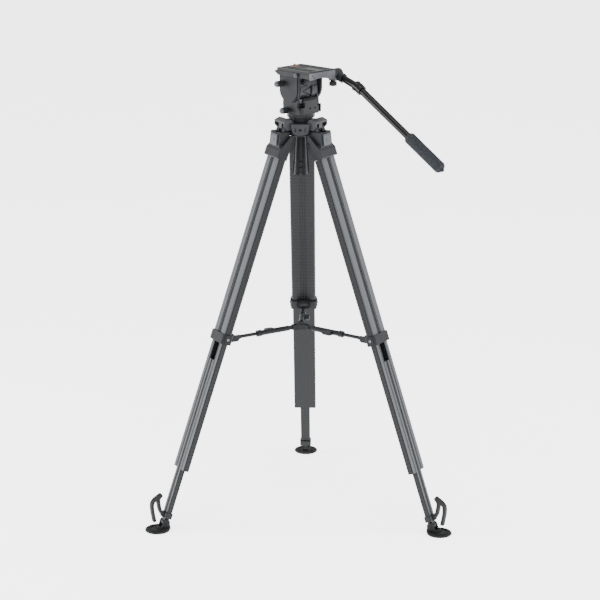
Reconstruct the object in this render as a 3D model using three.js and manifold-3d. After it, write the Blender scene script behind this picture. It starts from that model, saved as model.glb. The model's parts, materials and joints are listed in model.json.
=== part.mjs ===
// Three-leg video tripod with a bowl-mounted fluid head, pan bar and mid-level spreader.
// Millimetres, +Z up, feet on the floor, rear leg towards +Y.
import * as THREE from 'three';
import Module from 'manifold-3d';

const wasm = await Module();
wasm.setup();

// ---- driving dimensions -------------------------------------------------------------------
const bowlRimHeight = 13;        // top of the bowl rim above the leg hinges
const ankleRise = 18.4;          // ankle pin above the floor
const hingeRadius = 49;          // leg hinge axis from the tripod's axis
const leanAngle = 19.5;          // leg spread from vertical, degrees
const legInset = 6.7;            // leg centre line inboard of its hinge axis
const collarDown = 539;          // hinge to collar centre, along the leg
const middleEndDown = 884;       // hinge to lower end of the middle stage
const ankleDown = 1026;          // hinge to ankle pin
const upperWidth = 62;           // outer stage, across both rails at the collar
const upperDepth = 22;           // outer stage, front to back
const railSpread = 1;            // how much each rail widens towards the top
const railGap = 16;              // opening between the two rails
const railWall = 1.8;
const middleDepth = 15.6;
const lowerWidth = 25;
const padRadius = 31;
const padThickness = 5.5;
const padOffset = 20;            // pad centre outboard of the ankle pin
const hubRadius = 22;            // spreader pivots from the tripod's axis
const armRise = 1.6;             // spreader arm slope, degrees
const tiltHeight = 94;           // tilt axis above the leg hinges
const plateTop = 145;            // camera plate's top above the leg hinges
const headYaw = 137;             // heading of the camera platform, degrees from +X
const platformLength = 124;
const platformWidth = 88;
const barTubeRadius = 9;
const gripRadius = 14.5;
const barTubeLength = 178;
const gripLength = 124;

// The leg hinges stand as high as the leaning leg and its foot carry them.
const lean = THREE.MathUtils.degToRad(leanAngle);
const hingeHeight = ankleRise + ankleDown * Math.cos(lean) + legInset * Math.sin(lean);

// ---- clearances ---------------------------------------------------------------------------
const touchGap = 0.3;            // between pieces that rest against one another
const slideGap = 0.35;           // between telescoping stages, each side
const pinGap = 0.3;              // radial, between a pin and its eye
const openPivotGap = 2.2;        // radial, at the two hub pins left open

// ---- finishes -----------------------------------------------------------------------------
const finishes = {
  casting: ['#4a4c4f', 0.5, 0.6],
  moulding: ['#3b3e42', 0.6, 0.0],
  paleMoulding: ['#77797c', 0.55, 0.1],
  carbon: ['#33373b', 0.35, 0.1],
  satinMetal: ['#a3a5a8', 0.35, 0.9],
  darkMetal: ['#2b2d30', 0.4, 0.5],
  rubber: ['#1b1c1e', 0.85, 0.0],
  foam: ['#26272a', 0.95, 0.0],
  brass: ['#a58a63', 0.4, 0.9],
};

function piece(name, geometry, finish) {
  const [color, roughness, metalness] = finishes[finish];
  const material = new THREE.MeshStandardMaterial({ color, roughness, metalness });
  const mesh = new THREE.Mesh(geometry, material);
  mesh.name = name;
  return mesh;
}

function frameAt(name, x, y, z) {
  const group = new THREE.Group();
  group.name = name;
  group.position.set(x, y, z);
  return group;
}

const radians = THREE.MathUtils.degToRad;

// ---- solid helpers ------------------------------------------------------------------------
// Box from its low corner to its high corner.
function box(lowX, lowY, lowZ, highX, highY, highZ) {
  const geometry = new THREE.BoxGeometry(highX - lowX, highY - lowY, highZ - lowZ);
  geometry.translate((lowX + highX) / 2, (lowY + highY) / 2, (lowZ + highZ) / 2);
  return geometry;
}

function rodX(radius, from, to, y = 0, z = 0, sides = 20, endRadius = radius) {
  const geometry = new THREE.CylinderGeometry(endRadius, radius, to - from, sides);
  geometry.rotateZ(-Math.PI / 2);
  geometry.translate((from + to) / 2, y, z);
  return geometry;
}

function rodY(radius, from, to, x = 0, z = 0, sides = 20, endRadius = radius) {
  const geometry = new THREE.CylinderGeometry(endRadius, radius, to - from, sides);
  geometry.translate(x, (from + to) / 2, z);
  return geometry;
}

function rodZ(radius, from, to, x = 0, y = 0, sides = 20, endRadius = radius) {
  const geometry = new THREE.CylinderGeometry(endRadius, radius, to - from, sides);
  geometry.rotateX(Math.PI / 2);
  geometry.translate(x, y, (from + to) / 2);
  return geometry;
}

function outline(points) {
  return new THREE.Shape(points.map(([x, y]) => new THREE.Vector2(x, y)));
}

// Rectangle centred at (x, y) with rounded corners.
function roundedOutline(width, height, radius, x = 0, y = 0) {
  const shape = new THREE.Shape();
  const right = x + width / 2;
  const left = x - width / 2;
  const top = y + height / 2;
  const bottom = y - height / 2;
  shape.moveTo(left + radius, bottom);
  shape.lineTo(right - radius, bottom);
  shape.absarc(right - radius, bottom + radius, radius, -Math.PI / 2, 0);
  shape.lineTo(right, top - radius);
  shape.absarc(right - radius, top - radius, radius, 0, Math.PI / 2);
  shape.lineTo(left + radius, top);
  shape.absarc(left + radius, top - radius, radius, Math.PI / 2, Math.PI);
  shape.lineTo(left, bottom + radius);
  shape.absarc(left + radius, bottom + radius, radius, Math.PI, 1.5 * Math.PI);
  return shape;
}

// Outline in X and Y, raised along Z.
function raise(shape, from, to, curveSegments = 4) {
  const settings = { depth: to - from, bevelEnabled: false, curveSegments };
  return new THREE.ExtrudeGeometry(shape, settings).translate(0, 0, from);
}

// Outline in X and Z, swept along Y.
function sweepY(shape, from, to, curveSegments = 4) {
  const geometry = raise(shape, -to, -from, curveSegments);
  return geometry.rotateX(Math.PI / 2);
}

// Outline in Y and Z, swept along X.
function sweepX(shape, from, to, curveSegments = 4) {
  const geometry = raise(shape, from, to, curveSegments);
  return geometry.rotateX(Math.PI / 2).rotateZ(Math.PI / 2);
}

// Solid of revolution about Z from radius and height pairs.
function turned(points, sides = 32) {
  const profile = points.map(([radius, height]) => new THREE.Vector2(radius, height));
  return new THREE.LatheGeometry(profile, sides).rotateX(Math.PI / 2);
}

function toSolid(geometry) {
  const bare = geometry.clone();
  bare.deleteAttribute('normal');
  bare.deleteAttribute('uv');
  const places = new Map();
  const vertProperties = [];
  const triVerts = [];
  const position = bare.attributes.position;
  const count = bare.index ? bare.index.count : position.count;
  const corners = [];
  for (let i = 0; i < count; i += 1) {
    const vertex = bare.index ? bare.index.array[i] : i;
    const point = [position.getX(vertex), position.getY(vertex), position.getZ(vertex)];
    const key = point.map((value) => Math.round(value * 1e4)).join(',');
    if (!places.has(key)) {
      places.set(key, places.size);
      vertProperties.push(...point);
    }
    corners.push(places.get(key));
  }
  for (let i = 0; i < corners.length; i += 3) {
    const [a, b, c] = corners.slice(i, i + 3);
    if (a !== b && b !== c && a !== c) {
      triVerts.push(a, b, c);
    }
  }
  return new wasm.Manifold(new wasm.Mesh({
    numProp: 3,
    vertProperties: new Float32Array(vertProperties),
    triVerts: new Uint32Array(triVerts),
  }));
}

// Slivers thinner than the tolerance are merged away.
function fromSolid(solid, tolerance = 0.01) {
  const mesh = solid.asOriginal().simplify(tolerance).getMesh();
  const geometry = new THREE.BufferGeometry();
  geometry.setAttribute('position', new THREE.BufferAttribute(new Float32Array(mesh.vertProperties), 3));
  geometry.setIndex(new THREE.BufferAttribute(new Uint32Array(mesh.triVerts), 1));
  geometry.computeVertexNormals();
  return geometry;
}

function joined(...geometries) {
  return fromSolid(geometries.map(toSolid).reduce((sum, next) => sum.add(next)));
}

function cut(body, ...tools) {
  return fromSolid(tools.map(toSolid).reduce((rest, tool) => rest.subtract(tool), toSolid(body)));
}

// Flat strip of even thickness following a smooth path through the points.
function strip(points, thickness, divisions = 12) {
  const path = new THREE.SplineCurve(points.map(([x, y]) => new THREE.Vector2(x, y)));
  const left = [];
  const right = [];
  for (let i = 0; i <= divisions; i += 1) {
    const centre = path.getPoint(i / divisions);
    const along = path.getTangent(i / divisions);
    left.push([centre.x - along.y * thickness / 2, centre.y + along.x * thickness / 2]);
    right.unshift([centre.x + along.y * thickness / 2, centre.y - along.x * thickness / 2]);
  }
  return outline([...left, ...right]);
}

// Round knob on the X axis with scalloped sides.
function scallopedKnob(radius, from, to, lobes, depth) {
  const shape = new THREE.Shape();
  const steps = lobes * 4;
  for (let i = 0; i < steps; i += 1) {
    const angle = i / steps * 2 * Math.PI;
    const reach = radius - depth * (0.5 - 0.5 * Math.cos(lobes * angle));
    const method = i === 0 ? 'moveTo' : 'lineTo';
    shape[method](reach * Math.cos(angle), reach * Math.sin(angle));
  }
  return sweepX(shape, from, to);
}

// ---- bowl, drawn about the height of the leg hinges --------------------------
const legNames = ['left', 'right', 'rear'];
const legHeadings = { left: 210, right: 330, rear: 90 };
const bowlInner = 37.5;
const bowlOuter = 41.5;
const ballCentre = bowlRimHeight - 2;
const knuckleRadius = 7;
const knuckleInner = 8;
const knuckleOuter = 21;
const earHalfWidth = 26;
const hoodBottom = 15.5;
const ringBottom = -15;
const bowlSides = 24;

function bowlCasting() {
  const wall = [];
  for (let i = 0; i <= 4; i += 1) {
    const drop = (ballCentre - ringBottom) * (1 - i / 4);
    wall.push([Math.sqrt(bowlInner ** 2 - drop ** 2), ballCentre - drop]);
  }
  const profile = [[bowlOuter, ringBottom], [bowlOuter, ballCentre], ...wall.toReversed()];
  let casting = toSolid(turned([...profile, [bowlOuter, ringBottom]], bowlSides));
  const keepOut = toSolid(turned([
    [0, ringBottom - 20], [wall[0][0], ringBottom - 20], ...wall,
    [bowlInner + 4, bowlRimHeight + 20], [0, bowlRimHeight + 20],
  ], bowlSides));
  for (const name of legNames) {
    const heading = radians(legHeadings[name]);
    const hoodProfile = outline([
      [36, hoodBottom], [60, hoodBottom - 2], [60, hoodBottom + 2.5],
      [46, hoodBottom + 8], [39, hoodBottom + 6], [36, hoodBottom + 1],
    ]);
    const hood = sweepY(hoodProfile, -earHalfWidth, earHalfWidth);
    const postProfile = outline([[34, -3], [52, -3], [60, 6], [60, hoodBottom], [34, hoodBottom + 2]]);
    const parts = [hood];
    for (const side of [-1, 1]) {
      const inner = side * (knuckleOuter + 1.5);
      const outer = side * earHalfWidth;
      parts.push(sweepY(postProfile, Math.min(inner, outer), Math.max(inner, outer)));
    }
    const lugHalf = knuckleInner - slideGap;
    const lug = outline([
      [36, -12], [hingeRadius - 2, -7.5], [hingeRadius + 4, -6],
      [hingeRadius + 8, 0], [hingeRadius + 8.5, hoodBottom], [36, hoodBottom + 1],
    ]);
    parts.push(sweepY(lug, -lugHalf, lugHalf));
    parts.push(rodY(2.6, -knuckleOuter - 2.5, knuckleOuter + 2.5, hingeRadius, 0, 10));
    for (const part of parts) {
      casting = casting.add(toSolid(part.rotateZ(heading)));
    }
    const shield = new THREE.Shape();
    shield.moveTo(-23, 12);
    shield.lineTo(-21, -1);
    shield.quadraticCurveTo(-18, -14, -6, -15);
    shield.lineTo(6, -15);
    shield.quadraticCurveTo(18, -14, 21, -1);
    shield.lineTo(23, 12);
    const boss = sweepX(shield, 38, 50);
    const bossHeading = heading + Math.PI;
    casting = casting.add(toSolid(boss.rotateZ(bossHeading)));
    casting = casting.subtract(toSolid(rodX(3.6, 44, 52, 0, -2, 8).rotateZ(bossHeading)));
    for (const side of [-1, 1]) {
      const slot = sweepX(roundedOutline(2.6, 11, 1.2, side * 12, -2), 46.5, 52, 1);
      casting = casting.subtract(toSolid(slot.rotateZ(bossHeading)));
    }
  }
  return piece('bowl_casting', fromSolid(casting.subtract(keepOut), 0.05), 'casting');
}

const studRadius = 5;
const ballFlat = ringBottom + 1;

function headBase() {
  const ball = [];
  const reach = bowlInner - touchGap;
  for (let i = 0; i <= 4; i += 1) {
    const drop = (ballCentre - ballFlat) * (1 - i / 4);
    ball.push([Math.sqrt(reach ** 2 - drop ** 2), ballCentre - drop]);
  }
  const profile = [
    [0, -70], [studRadius, -70], [studRadius, ballFlat], ...ball, [reach, bowlRimHeight + 1],
    [31, bowlRimHeight + 3], [30, 23], [34.5, 24.5], [34.5, 33.5], [0, 33.5],
  ];
  return piece('head_base', turned(profile, bowlSides), 'darkMetal');
}

// Tapered three-cornered clamp handle hanging on the head's stud.
function tieDownHandle() {
  const top = ringBottom - touchGap - 0.7;
  const bottom = -120;
  const plate = turned([[0, top - 7], [24, top - 7], [33, top - 4], [33, top], [0, top]], 24);
  let grip = null;
  for (let corner = 0; corner < 3; corner += 1) {
    const heading = radians(30 + corner * 120);
    const fin = outline([
      [0, top - 2], [13, top - 2], [15.5, -38], [23, bottom + 5], [20, bottom], [0, bottom],
    ]);
    const blade = toSolid(sweepY(fin, -2.6, 2.6).rotateZ(heading));
    grip = grip ? grip.add(blade) : blade;
  }
  const core = new THREE.CylinderGeometry(11.5, 16.5, top - bottom - 1, 24).rotateX(Math.PI / 2);
  core.translate(0, 0, (top + bottom) / 2 - 1);
  grip = grip.add(toSolid(core)).add(toSolid(plate));
  for (const height of [-87, -101]) {
    const slant = outline([[-9, height - 5], [7, height + 4], [7, height + 7], [-9, height - 1]]);
    const slot = sweepY(slant, -30, -13);
    grip = grip.subtract(toSolid(slot));
  }
  const bore = rodZ(studRadius + pinGap, -75, top + 2, 0, 0, 20);
  grip = grip.subtract(toSolid(bore));
  return piece('tie_down_handle', fromSolid(grip), 'moulding');
}

// ---- leg pieces, drawn along -Z from the hinge with +X facing outwards ---------------------
const upperHalf = upperWidth / 2;
const depthHalf = upperDepth / 2;
const housingDown = 76;
const railTopDown = housingDown + touchGap;
const collarHalf = 12;
const railEndDown = collarDown - collarHalf - touchGap;
const middleHalf = upperHalf - railWall - slideGap;
const middleTopDown = middleEndDown - 472;
const housingHalf = upperHalf + railSpread;
const leverHalf = housingHalf + 3.6;
const lowerTopDown = ankleDown - 428;
const leverPivot = [-6.7, -20];

function legHousing(name) {
  const side = outline([
    [0, -6], [23, -14], [23.5, -17], [16.5, -48], [13, -60],
    [depthHalf + 1, -housingDown], [-depthHalf - 1, -housingDown], [-depthHalf - 1, -30],
    [-8, -17], [-1, -12],
  ]);
  const upper = sweepY(side, -26, 26);
  const lowerSide = outline([
    [-depthHalf - 1, -34], [13, -42], [16, -50], [13, -60],
    [depthHalf + 1, -housingDown], [-depthHalf - 1, -housingDown],
  ]);
  const lower = sweepY(lowerSide, -housingHalf, housingHalf);
  const shaft = rodY(4.2, -housingHalf, housingHalf, ...leverPivot, 12);
  let housing = toSolid(upper).add(toSolid(lower)).add(toSolid(shaft));
  for (const hand of [-1, 1]) {
    const near = hand * knuckleInner;
    const far = hand * knuckleOuter;
    const from = Math.min(near, far);
    const to = Math.max(near, far);
    housing = housing.add(toSolid(rodY(knuckleRadius, from, to, legInset, 0, 14)));
    housing = housing.add(toSolid(box(legInset - 6, from, -14, legInset + 6, to, 0)));
  }
  housing = housing.subtract(toSolid(rodY(2.6 + pinGap, -30, 30, legInset, 0, 10)));
  const slot = box(-9, -knuckleInner, -15, 28, knuckleInner, 9);
  housing = housing.subtract(toSolid(slot));
  return piece(`leg_housing_${name}`, fromSolid(housing), 'moulding');
}

function brakeLever(name) {
  const sidePlate = new THREE.Shape();
  sidePlate.moveTo(-11, -22);
  sidePlate.quadraticCurveTo(-11, -15.5, -6, -15);
  sidePlate.quadraticCurveTo(-2, -15, 0, -19);
  sidePlate.quadraticCurveTo(8, -40, 16.6, -53);
  sidePlate.lineTo(17.5, -56);
  sidePlate.lineTo(17.5, -housingDown + 2);
  sidePlate.lineTo(16, -housingDown);
  sidePlate.quadraticCurveTo(6, -housingDown, 2, -67);
  sidePlate.quadraticCurveTo(1, -50, -11, -22);
  const plates = [-1, 1].map((hand) => {
    const ends = [hand * (housingHalf + touchGap), hand * leverHalf];
    return sweepY(sidePlate, Math.min(...ends), Math.max(...ends), 6);
  });
  const bandProfile = outline([
    [16.7, -54], [17.5, -56], [17.5, -housingDown + 2], [16, -housingDown], [13.2, -housingDown],
    [13.3, -61], [16.4, -51.5],
  ]);
  const band = sweepY(bandProfile, 0.1 - leverHalf, leverHalf - 0.1);
  return piece(`brake_lever_${name}`, joined(...plates, band), 'moulding');
}

function angleLatch(name) {
  const profile = outline([[23.9, -19], [26.6, -20], [26, -25], [20.3, -47], [17.6, -46.5]]);
  const pad = sweepY(profile, -16, 16);
  return piece(`angle_latch_${name}`, pad, 'paleMoulding');
}

// A hollow rail; the first of each pair also carries the ribbed strip that closes the gap.
function railPiece(name, hand) {
  const corner = 5;
  const wall = railWall;
  const lip = railGap / 2;
  const outer = [
    [depthHalf, lip], [depthHalf, upperHalf - corner], [depthHalf - 1.5, upperHalf - 1.5],
    [depthHalf - corner, upperHalf], [2.4, upperHalf], [2, upperHalf - 0.8],
    [-2, upperHalf - 0.8], [-2.4, upperHalf], [corner - depthHalf, upperHalf],
    [1.5 - depthHalf, upperHalf - 1.5], [-depthHalf, upperHalf - corner], [-depthHalf, lip],
  ];
  const seat = hand > 0 ? lip + 1.2 : lip;
  const inner = [
    [wall - depthHalf, seat], [wall - depthHalf, upperHalf - corner],
    [2.8 - depthHalf, upperHalf - 2.8], [corner - depthHalf, upperHalf - wall],
    [depthHalf - corner, upperHalf - wall], [depthHalf - 2.8, upperHalf - 2.8],
    [depthHalf - wall, upperHalf - corner], [depthHalf - wall, seat],
  ];
  const floor = depthHalf - 1.1;
  const rib = floor + 0.9;
  const under = floor - 1.2;
  const edge = touchGap - lip;
  const ribs = [
    [floor, lip], [floor, 4.8], [rib, 4.4], [rib, 1.4], [floor, 1], [floor, -1],
    [rib, -1.4], [rib, -4.4], [floor, -4.8], [floor, edge], [under, edge], [under, seat],
  ];
  const facing = ribs.map(([x, y]) => [-x, y]);
  const points = hand > 0 ? [...outer, ...facing, ...inner, ...ribs.toReversed()] : [...outer, ...inner];
  const shape = outline(points.map(([x, y]) => [x, y * hand]));
  const rail = raise(shape, -railEndDown, -railTopDown);
  const position = rail.attributes.position;
  const length = railEndDown - railTopDown;
  for (let i = 0; i < position.count; i += 1) {
    const share = (position.getZ(i) + railEndDown) / length;
    position.setY(i, position.getY(i) * (1 + share * railSpread / upperHalf));
  }
  const label = hand > 0 ? 'a' : 'b';
  return piece(`outer_rail_${label}_${name}`, rail, 'carbon');
}

const bracketPin = [-(depthHalf + 25), -(collarDown - 6)];
const bracketInner = 12.5;
const bracketOuter = 17;

function legCollar(name) {
  const bandOutline = roundedOutline(upperDepth + 7, upperWidth + 6, 5);
  const passage = roundedOutline(middleDepth + 2 * slideGap, 2 * (middleHalf + slideGap), 2.5);
  const band = raise(bandOutline, -collarDown - collarHalf, -collarDown + collarHalf, 2);
  const hole = raise(passage, -collarDown - collarHalf - 1, -collarDown + collarHalf + 1, 1);
  let collar = toSolid(band);
  const [pinX, pinZ] = bracketPin;
  const back = -depthHalf - 3;
  for (const hand of [-1, 1]) {
    const tab = roundedOutline(17, 22, 7, 0, -collarDown + 1);
    const tabEnds = [hand * (upperHalf + 2), hand * (upperHalf + 4.6)];
    collar = collar.add(toSolid(sweepY(tab, Math.min(...tabEnds), Math.max(...tabEnds), 3)));
    const ear = outline([
      [back, -collarDown - 8], [pinX, pinZ - 6], [pinX - 5, pinZ - 3], [pinX - 5, pinZ + 3],
      [pinX, pinZ + 6], [back - 4, pinZ + 10], [back, pinZ + 10],
    ]);
    const earEnds = [hand * bracketInner, hand * bracketOuter];
    collar = collar.add(toSolid(sweepY(ear, Math.min(...earEnds), Math.max(...earEnds))));
  }
  const bridge = [back - 8, -bracketOuter, pinZ + 4, back + 1, bracketOuter, pinZ + 10];
  collar = collar.add(toSolid(box(...bridge))).subtract(toSolid(hole));
  collar = collar.add(toSolid(rodY(2.2, -bracketOuter, bracketOuter, ...bracketPin, 10)));
  return piece(`leg_collar_${name}`, fromSolid(collar), 'moulding');
}

function middleStage(name) {
  const half = middleDepth / 2;
  const channel = lowerWidth / 2 + slideGap;
  const web = -half + 1.4;
  const shape = outline([
    [-half, -middleHalf + 2], [-half + 2, -middleHalf], [half - 2, -middleHalf],
    [half, -middleHalf + 2], [half, -channel - 3.5], [half - 0.8, -channel - 3],
    [half - 0.8, -channel - 2], [half, -channel - 1.5], [half, -channel],
    [web, -channel], [web, channel],
    [half, channel], [half, channel + 1.5], [half - 0.8, channel + 2],
    [half - 0.8, channel + 3], [half, channel + 3.5], [half, middleHalf - 2],
    [half - 2, middleHalf], [-half + 2, middleHalf], [-half, middleHalf - 2],
    [-half, 13], [-half + 0.6, 12], [-half + 0.6, 6], [-half, 5],
    [-half, -5], [-half + 0.6, -6], [-half + 0.6, -12], [-half, -13],
  ]);
  return piece(`middle_stage_${name}`, raise(shape, -middleEndDown, -middleTopDown), 'carbon');
}

const knuckleBore = 3.1;

function lowerStage(name) {
  const front = middleDepth / 2 - 0.3;
  const back = -middleDepth / 2 + 1.4 + slideGap;
  const half = lowerWidth / 2;
  const shape = outline([
    [back, -half + 1], [back + 1, -half], [front - 1.5, -half], [front, -half + 1.5],
    [front, -1.6], [front - 0.9, -1], [front - 0.9, 1], [front, 1.6], [front, half - 1.5],
    [front - 1.5, half], [back + 1, half], [back, half - 1],
    [back, 4], [back + 0.6, 3], [back + 0.6, -3], [back, -4],
  ]);
  const bar = raise(shape, -ankleDown + 24, -lowerTopDown);
  const cap = raise(roundedOutline(18, 30, 3), -ankleDown + 12, -ankleDown + 26, 2);
  const neck = box(-6.5, -6.5, -ankleDown, 6.5, 6.5, -ankleDown + 13);
  const knuckle = rodY(8.5, -6.8, 6.8, 0, -ankleDown, 16);
  const bore = rodY(knuckleBore, -8, 8, 0, -ankleDown, 10);
  return piece(`lower_stage_${name}`, cut(joined(bar, cap, neck, knuckle), bore), 'carbon');
}

// Forked rubber strap: its outer strand reaches down over the pad, its inner one holds the leg's cap.
function footStrap(name) {
  const outer = [[32, 68], [44, 55], [50, 43], [47, 30], [41, 18], [29, -3]];
  const inner = [[33, 66], [37, 54], [31, 40], [23, 27], [13, 18]];
  const strands = [outer, inner].map((path) => {
    const raised = path.map(([x, z]) => [x, z - ankleDown]);
    return sweepY(strip(raised, 7), -6, 6);
  });
  const hook = box(9.3, -6, -ankleDown + 13, 15, 6, -ankleDown + 25);
  return piece(`foot_strap_${name}`, joined(...strands, hook), 'rubber');
}

// Level pad with two ears and the ankle pin, drawn about the ankle pin.
function footPad(name, pinHeight) {
  const disc = turned([
    [0, -pinHeight], [padRadius - 1.5, -pinHeight], [padRadius, -pinHeight + 1.5],
    [padRadius, -pinHeight + 4], [padRadius - 1.5, -pinHeight + padThickness], [0, -pinHeight + padThickness],
  ], 28);
  disc.translate(padOffset, 0, 0);
  const crown = raise(roundedOutline(34, 24, 6, 5, 0), -pinHeight + 1, -pinHeight + 8.4, 3);
  let pad = toSolid(disc).add(toSolid(crown));
  for (const hand of [-1, 1]) {
    const near = Math.min(hand * 7.2, hand * 11);
    const far = Math.max(hand * 7.2, hand * 11);
    const cheek = outline([[-9.5, -pinHeight + 8], [14, -pinHeight + 8], [9, 2], [-9, 2]]);
    pad = pad.add(toSolid(sweepY(cheek, near, far))).add(toSolid(rodY(9.5, near, far, 0, 0, 20)));
  }
  pad = pad.add(toSolid(rodY(knuckleBore - pinGap, -11.8, 11.8, 0, 0, 10)));
  return piece(`foot_pad_${name}`, fromSolid(pad), 'rubber');
}

// ---- spreader pieces, drawn from the collar pin towards the hub along +X --------------------
const pinOut = bracketPin[0] - legInset;
const pinReach = hingeRadius + pinOut * Math.cos(lean) - bracketPin[1] * Math.sin(lean);
const pinLevel = hingeHeight + pinOut * Math.sin(lean) + bracketPin[1] * Math.cos(lean);
const armLength = (pinReach - hubRadius) / Math.cos(radians(armRise));
const hubLevel = pinLevel + armLength * Math.sin(radians(armRise));
const sleeveStart = 62;
const leverStart = 92;
const rodRadius = 4.6;
const sleeveRadius = 6.7;
const eyeHalf = 4.2;

function spreaderRod(name) {
  const eye = rodY(5.5, touchGap - bracketInner, bracketInner - touchGap, 0, 0, 14);
  const fitting = box(4, -eyeHalf, -4.6, 15, eyeHalf, 4.6);
  const shaft = rodX(rodRadius, 12, sleeveStart + 34, 0, 0, 12);
  const bore = rodY(2.2 + pinGap, -bracketInner, bracketInner, 0, 0, 10);
  return piece(`spreader_rod_${name}`, cut(joined(eye, fitting, shaft), bore), 'darkMetal');
}

function spreaderSleeve(name, hubPinGap) {
  const tube = rodX(sleeveRadius, sleeveStart + 6, armLength - 13, 0, 0, 16);
  const collar = rodX(sleeveRadius + 1.6, sleeveStart, sleeveStart + 12, 0, 0, 16);
  const saddle = box(leverStart - 2, 0, -5, leverStart + 22, 9.5, 5);
  const tongue = box(armLength - 16, -3.8, -4.5, armLength, 3.8, 4.5);
  const eyeRadius = 2.2 + hubPinGap + 2.4;
  const eye = rodY(eyeRadius, -3.8, 3.8, armLength, 0, 14);
  const bore = rodX(rodRadius + slideGap, sleeveStart - 1, armLength - 12, 0, 0, 12);
  const hole = rodY(2.2 + hubPinGap, -6, 6, armLength, 0, 12);
  const body = joined(tube, collar, saddle, tongue, eye);
  return piece(`spreader_sleeve_${name}`, cut(body, bore, hole), 'moulding');
}

function armLever(name) {
  const blade = outline([[-1, -5], [19, -4.5], [24, -1], [24, 2], [20, 4.5], [-1, 5]]);
  const geometry = sweepY(blade, 9.5 + touchGap, 18);
  return piece(`arm_lever_${name}`, geometry, 'moulding');
}

function spreaderHub() {
  const points = [];
  for (let i = 0; i < 6; i += 1) {
    const heading = radians(i * 60);
    points.push([15 * Math.cos(heading), 15 * Math.sin(heading)]);
  }
  let hub = toSolid(raise(outline(points), hubLevel - 6, hubLevel + 6));
  hub = hub.add(toSolid(rodZ(8, hubLevel + 5, hubLevel + 8, 0, 0, 20, 6)));
  for (const name of legNames) {
    const heading = radians(legHeadings[name]);
    for (const hand of [-1, 1]) {
      const ear = outline([
        [6, hubLevel - 6], [hubRadius, hubLevel - 6], [hubRadius + 5, hubLevel - 2],
        [hubRadius + 5, hubLevel + 2], [hubRadius, hubLevel + 6], [6, hubLevel + 6],
      ]);
      const near = hand * 4.3;
      const far = hand * 8;
      const plate = sweepY(ear, Math.min(near, far), Math.max(near, far));
      hub = hub.add(toSolid(plate.rotateZ(heading)));
    }
    const open = name === 'rear' ? pinGap : openPivotGap;
    const reach = 2.2 + open + 2.4 + open + 0.6;
    const slot = box(hubRadius - reach, -4.3, hubLevel - 9, hubRadius + 8, 4.3, hubLevel + 9);
    hub = hub.subtract(toSolid(slot.rotateZ(heading)));
    const pin = rodY(2.2, -8, 8, hubRadius, hubLevel, 10);
    hub = hub.add(toSolid(pin.rotateZ(heading)));
  }
  return piece('spreader_hub', fromSolid(hub), 'moulding');
}

// ---- fluid head, drawn with +X forwards and +Y to its left ---------------------------------
const panTop = 61;
const cheekInner = 30;
const cheekOuter = 36;
const coverOuter = 44;
const coverRadius = 32;
const platformBottom = 127.3;
const plateSplit = 138.5;
const trackBottom = 134;
const platformRear = -78;
const platformFront = platformRear + platformLength;
const barPivot = [-61, 128];
const barPlane = -61;

function panBody() {
  const lower = raise(roundedOutline(68, 66, 8), 34, 52, 2);
  const upper = raise(roundedOutline(62, 72, 8), 46, panTop, 2);
  const cheekShape = new THREE.Shape();
  cheekShape.moveTo(-27, 55);
  cheekShape.lineTo(27, 55);
  cheekShape.lineTo(24, 98);
  cheekShape.absarc(0, tiltHeight, 24, 0.15, Math.PI - 0.15);
  cheekShape.lineTo(-24, 98);
  let body = toSolid(lower).add(toSolid(upper));
  for (const hand of [-1, 1]) {
    const near = hand * cheekInner;
    const far = hand * cheekOuter;
    body = body.add(toSolid(sweepY(cheekShape, Math.min(near, far), Math.max(near, far), 10)));
  }
  const saddle = outline([[-34, 50], [-34, 68], [-31, 74], [-27, 72], [-25, panTop - 4]]);
  body = body.add(toSolid(sweepY(saddle, -22, 24)));
  const rearGroove = box(-35.5, 31, 40, -28, 36, 56);
  body = body.subtract(toSolid(rearGroove));
  const corner = box(-40, 20, 51, -22, 40, 64);
  body = body.subtract(toSolid(corner));
  for (const y of [2.5, -15]) {
    body = body.subtract(toSolid(rodX(2.4, -36, -29, y, 47.8, 12)));
  }
  const flange = raise(roundedOutline(70, 3, 1, 0, -34), 36, 56, 2);
  body = body.add(toSolid(flange));
  return piece('pan_body', fromSolid(body), 'darkMetal');
}

// Rounded below about the tilt axis, straight-sided up to the platform.
function sideCover(name, hand) {
  const coverOutline = (reach) => {
    const top = platformBottom - touchGap;
    const shape = new THREE.Shape();
    shape.moveTo(reach, top);
    shape.lineTo(-reach, top);
    shape.lineTo(-reach, tiltHeight);
    shape.absarc(0, tiltHeight, reach, Math.PI, 2 * Math.PI);
    return shape;
  };
  const rimEnds = [hand * (cheekOuter + touchGap), hand * (coverOuter - 2.5)];
  const faceEnds = [hand * (coverOuter - 3), hand * coverOuter];
  const rim = sweepY(coverOutline(coverRadius), Math.min(...rimEnds), Math.max(...rimEnds), 18);
  const face = sweepY(coverOutline(coverRadius - 2), Math.min(...faceEnds), Math.max(...faceEnds), 18);
  return piece(name, joined(rim, face), 'moulding');
}

function tiltCore() {
  const half = cheekInner - 0.8;
  const drum = rodY(28, -half, half, 0, tiltHeight, 28);
  const neck = box(-26, -half, tiltHeight + 8, 30, half, platformBottom - touchGap);
  const wedge = outline([
    [24, tiltHeight - 3], [-12, tiltHeight + 9], [-12, tiltHeight - 20], [-6, tiltHeight - 20],
  ]);
  const insert = outline([[17, tiltHeight - 4], [-8, tiltHeight + 3], [-8, tiltHeight - 13]]);
  const pocket = sweepX(wedge, -40, -19);
  const block = sweepX(insert, -24.5, -18);
  const spindle = rodX(6, -31, -24, 4, tiltHeight + 15, 16, 9);
  return piece('tilt_core', joined(cut(joined(drum, neck), pocket), block, spindle), 'casting');
}

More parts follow.
